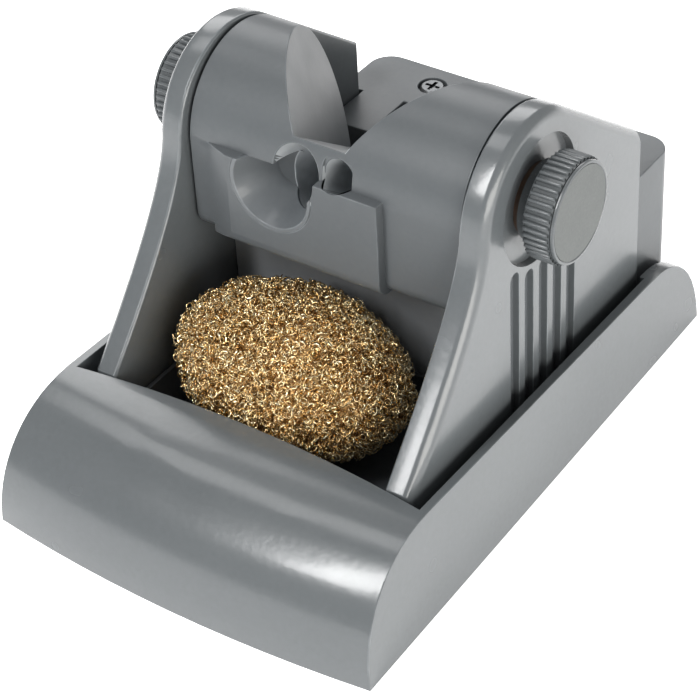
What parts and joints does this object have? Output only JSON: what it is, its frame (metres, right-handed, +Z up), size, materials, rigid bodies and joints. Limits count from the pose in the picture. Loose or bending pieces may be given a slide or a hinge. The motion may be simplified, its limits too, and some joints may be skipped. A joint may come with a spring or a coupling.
{
  "type": "soldering iron station",
  "caption": "Bench stand for a soldering iron: heavy sloped base with two cheeks, a tilting cradle drum clamped by knurled knobs, and a lift-out brass wool tray.",
  "frame": {"origin": "under the middle of the bounding box, on the table plane", "axes": "+X to the right seen from the front, +Y from the front lip to the back, +Z up"},
  "size_m": [0.123, 0.1754, 0.109],
  "materials": {
    "grey_enamel": "semi-gloss slate grey enamel on a casting",
    "shield_grey": "semi-gloss grey enamel",
    "liner_grey": "heat-proof moulding, satin",
    "plate_steel": "zinc-plated sheet",
    "screw_steel": "plated, satin",
    "ballast_iron": "as cast",
    "foot_rubber": "matte",
    "wool_brass": "bright curled shavings",
    "bush_brass": "turned",
    "washer_fibre": "fibre",
    "knob_plastic": "semi-gloss moulding",
    "cap_plastic": "satin disc"
  },
  "bodies": {
    "stand": {"base_tray": "grey_enamel", "base_plate": "plate_steel", "rubber_feet": "foot_rubber", "base_screws": "screw_steel", "left_cheek": "grey_enamel", "right_cheek": "grey_enamel", "floor_screws": "screw_steel", "rear_housing": "grey_enamel", "housing_screws": "screw_steel", "ballast_block": "ballast_iron", "splash_shield": "shield_grey", "shield_screws": "screw_steel", "left_bush": "bush_brass", "right_bush": "bush_brass", "friction_washers": "washer_fibre"},
    "cradle": {"cradle_drum": "grey_enamel", "socket_liner": "liner_grey", "end_discs": "plate_steel", "clamp_studs": "screw_steel"},
    "left_knob": {"left_knob": "knob_plastic", "left_knob_insert": "bush_brass", "left_knob_cap": "cap_plastic"},
    "right_knob": {"right_knob": "knob_plastic", "right_knob_insert": "bush_brass", "right_knob_cap": "cap_plastic"},
    "wool_tray": {"wool_tray": "shield_grey", "brass_wool": "wool_brass"}
  },
  "joints": [
    {"name": "cradle_tilt", "type": "hinge", "parent": "stand", "child": "cradle", "pos_m": [0, 0.011, 0.0843], "axis": [1, 0, 0], "range_deg": [-20, 20]},
    {"name": "left_knob_turn", "type": "hinge", "parent": "cradle", "child": "left_knob", "pos_m": [-0.055, 0.011, 0.0843], "axis": [-1, 0, 0], "range_deg": [0, 270]},
    {"name": "right_knob_turn", "type": "hinge", "parent": "cradle", "child": "right_knob", "pos_m": [0.055, 0.011, 0.0843], "axis": [1, 0, 0], "range_deg": [0, 270]},
    {"name": "wool_tray_lift", "type": "slide", "parent": "stand", "child": "wool_tray", "axis": [0, 0, 1], "range_m": [0, 0.003]}
  ]
}
